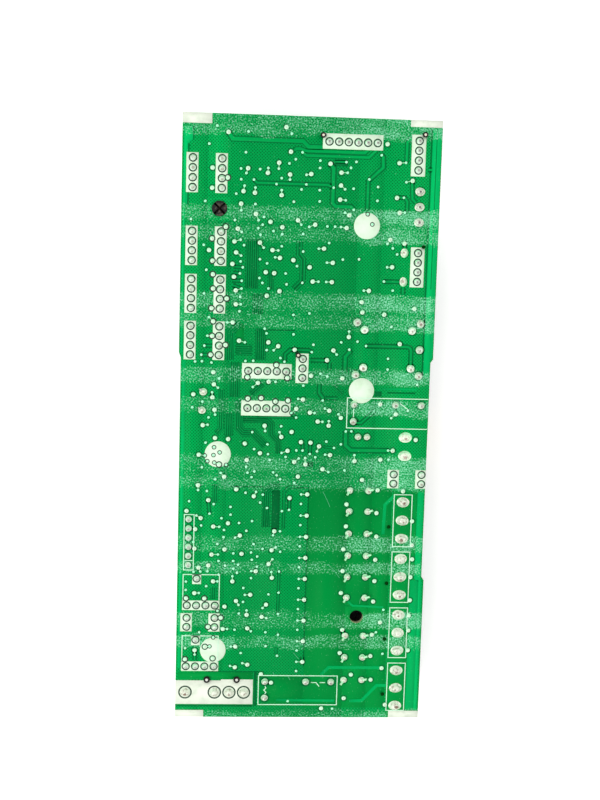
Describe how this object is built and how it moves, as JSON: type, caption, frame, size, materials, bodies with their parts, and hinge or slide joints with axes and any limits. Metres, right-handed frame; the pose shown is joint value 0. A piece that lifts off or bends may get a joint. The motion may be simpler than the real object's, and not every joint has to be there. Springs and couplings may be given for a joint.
{
  "type": "control board",
  "caption": "Rectangular green control board shown solder side up: header, relay and disc leads soldered through it, drops of solder on the test pads, and a plastic support post.",
  "frame": {"origin": "under the middle of the board, on the surface that its two slim relays and its support post stand on", "axes": "+X across the board, +Y along its length towards the end with the support post, +Z out of the soldered face"},
  "size_m": [0.067, 0.1606, 0.0184],
  "materials": {
    "laminate": "green solder mask over glass-filled epoxy, satin",
    "solder": "bright tin-lead solder with flux haze",
    "tinned_pad": "tinned copper under flux",
    "post_plastic": "moulded, black, dusty",
    "header_ivory": "moulded nylon, natural white",
    "header_white": "moulded nylon, white",
    "pin_tin": "tin-plated brass",
    "pin_gold": "gold-flashed brass",
    "header_black": "moulded nylon, black",
    "strip_black": "moulded, black",
    "package_black": "transfer-moulded epoxy, black",
    "package_white": "transfer-moulded epoxy, white",
    "lead_tin": "tin-plated alloy",
    "relay_white": "sealed moulded case",
    "relay_black": "sealed moulded case, satin",
    "relay_base": "sealing compound, black",
    "ferrite": "sintered ferrite, grey-black",
    "bobbin": "moulded phenolic, black",
    "coil_tape": "yellow polyester tape",
    "sleeve": "shrunk sleeve over an aluminium can",
    "bung": "moulded rubber",
    "film_case": "resin-filled box",
    "blue_dip": "dipped epoxy coat, blue",
    "can_metal": "nickel-plated can",
    "bulk_can": "plain aluminium can on a plastic base",
    "chip_ceramic": "fired ceramic"
  },
  "bodies": {
    "root": {"board": "laminate", "solder_signal": "solder", "solder_power": "solder", "solder_leads": "solder", "test_pads": "tinned_pad", "via_fillings": "tinned_pad", "support_post": "post_plastic", "fixing_spacer": "post_plastic", "header_top_6way": "header_ivory", "header_top_4way": "header_ivory", "header_side_4way": "header_black", "header_mid_3way": "header_ivory", "header_inner_5way_upper": "header_ivory", "header_inner_5way_lower": "header_ivory", "signal_pins": "pin_tin", "program_header": "strip_black", "program_pins": "pin_gold", "power_header": "header_white", "mains_header": "header_white", "power_pins": "pin_tin", "output_header_1": "header_black", "output_header_2": "header_black", "output_header_3": "header_black", "output_header_4": "header_black", "output_pins": "pin_tin", "optocoupler_1": "package_black", "optocoupler_2": "package_black", "optocoupler_3": "package_black", "optocoupler_4": "package_black", "small_optocoupler_1": "package_black", "small_optocoupler_2": "package_black", "dip_leads": "lead_tin", "small_relay_1": "relay_white", "small_relay_2": "relay_white", "small_relay_pins": "lead_tin", "relay_cover_1": "relay_black", "relay_cover_2": "relay_black", "relay_base_1": "relay_base", "relay_base_2": "relay_base", "relay_pins": "lead_tin", "transformer_core": "ferrite", "transformer_bobbin": "bobbin", "transformer_winding": "coil_tape", "transformer_pins": "lead_tin", "electrolytic_can": "sleeve", "electrolytic_bung": "bung", "film_capacitor": "film_case", "ceramic_capacitor": "blue_dip", "crystal_can": "can_metal", "radial_leads": "lead_tin", "varistors": "blue_dip", "varistor_leads": "lead_tin", "optotriacs": "package_white", "controller": "package_black", "driver_chips": "package_black", "gull_leads": "lead_tin", "bulk_capacitors": "bulk_can", "chip_bodies": "chip_ceramic", "chip_ends": "lead_tin"}
  },
  "joints": []
}
